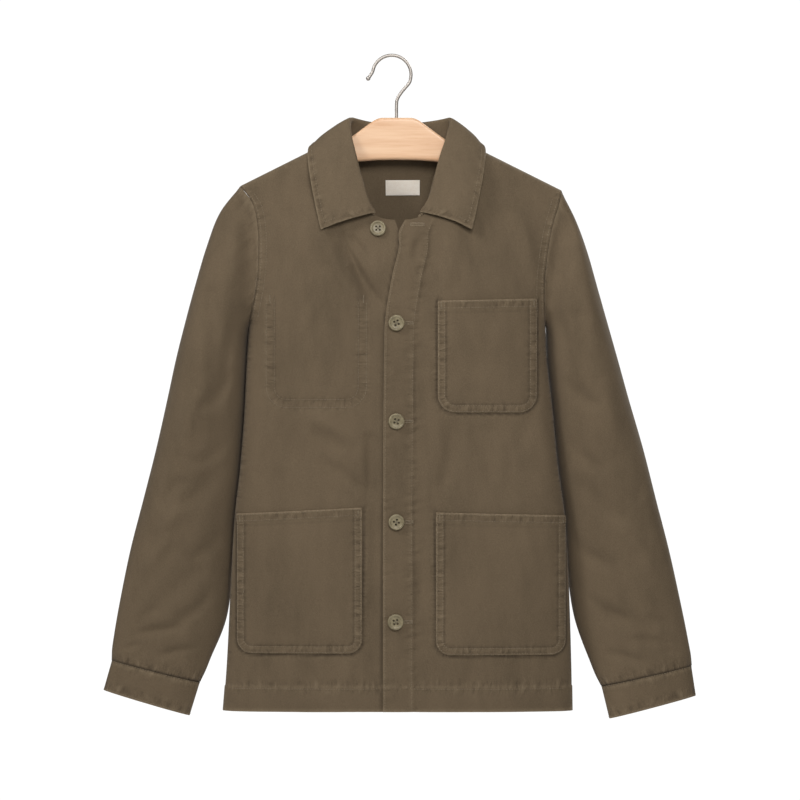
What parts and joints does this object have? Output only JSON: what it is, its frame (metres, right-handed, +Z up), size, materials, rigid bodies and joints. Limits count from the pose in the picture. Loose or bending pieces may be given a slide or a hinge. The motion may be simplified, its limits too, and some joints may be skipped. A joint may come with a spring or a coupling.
{
  "type": "chore jacket on a hanger",
  "caption": "Buttoned cotton work jacket with turn-down collar and patch pockets, hanging flat on a wooden hanger with a wire hook.",
  "frame": {"origin": "inside top of the hook, where it hangs on a rail", "axes": "+Z up, -Y out of the jacket's front, +X towards the wearer's left sleeve"},
  "size_m": [0.743, 0.1122, 0.8352],
  "materials": {
    "cloth": "garment-dyed cotton twill, olive brown, worn paler at seams",
    "button": "olive-grey moulded button, soft gloss",
    "label": "off-white woven tab",
    "wood": "pale lacquered hardwood",
    "wire": "bright nickelled wire"
  },
  "bodies": {
    "root": {"back": "cloth", "front_left": "cloth", "front_right": "cloth", "sleeve_left": "cloth", "sleeve_right": "cloth", "cuff_left": "cloth", "cuff_right": "cloth", "collar": "cloth", "chest_pocket": "cloth", "lower_pocket_left": "cloth", "lower_pocket_right": "cloth", "inner_pocket": "cloth", "button_1": "button", "button_2": "button", "button_3": "button", "button_4": "button", "button_5": "button", "neck_label": "label", "hanger": "wood", "hook": "wire"}
  },
  "joints": []
}
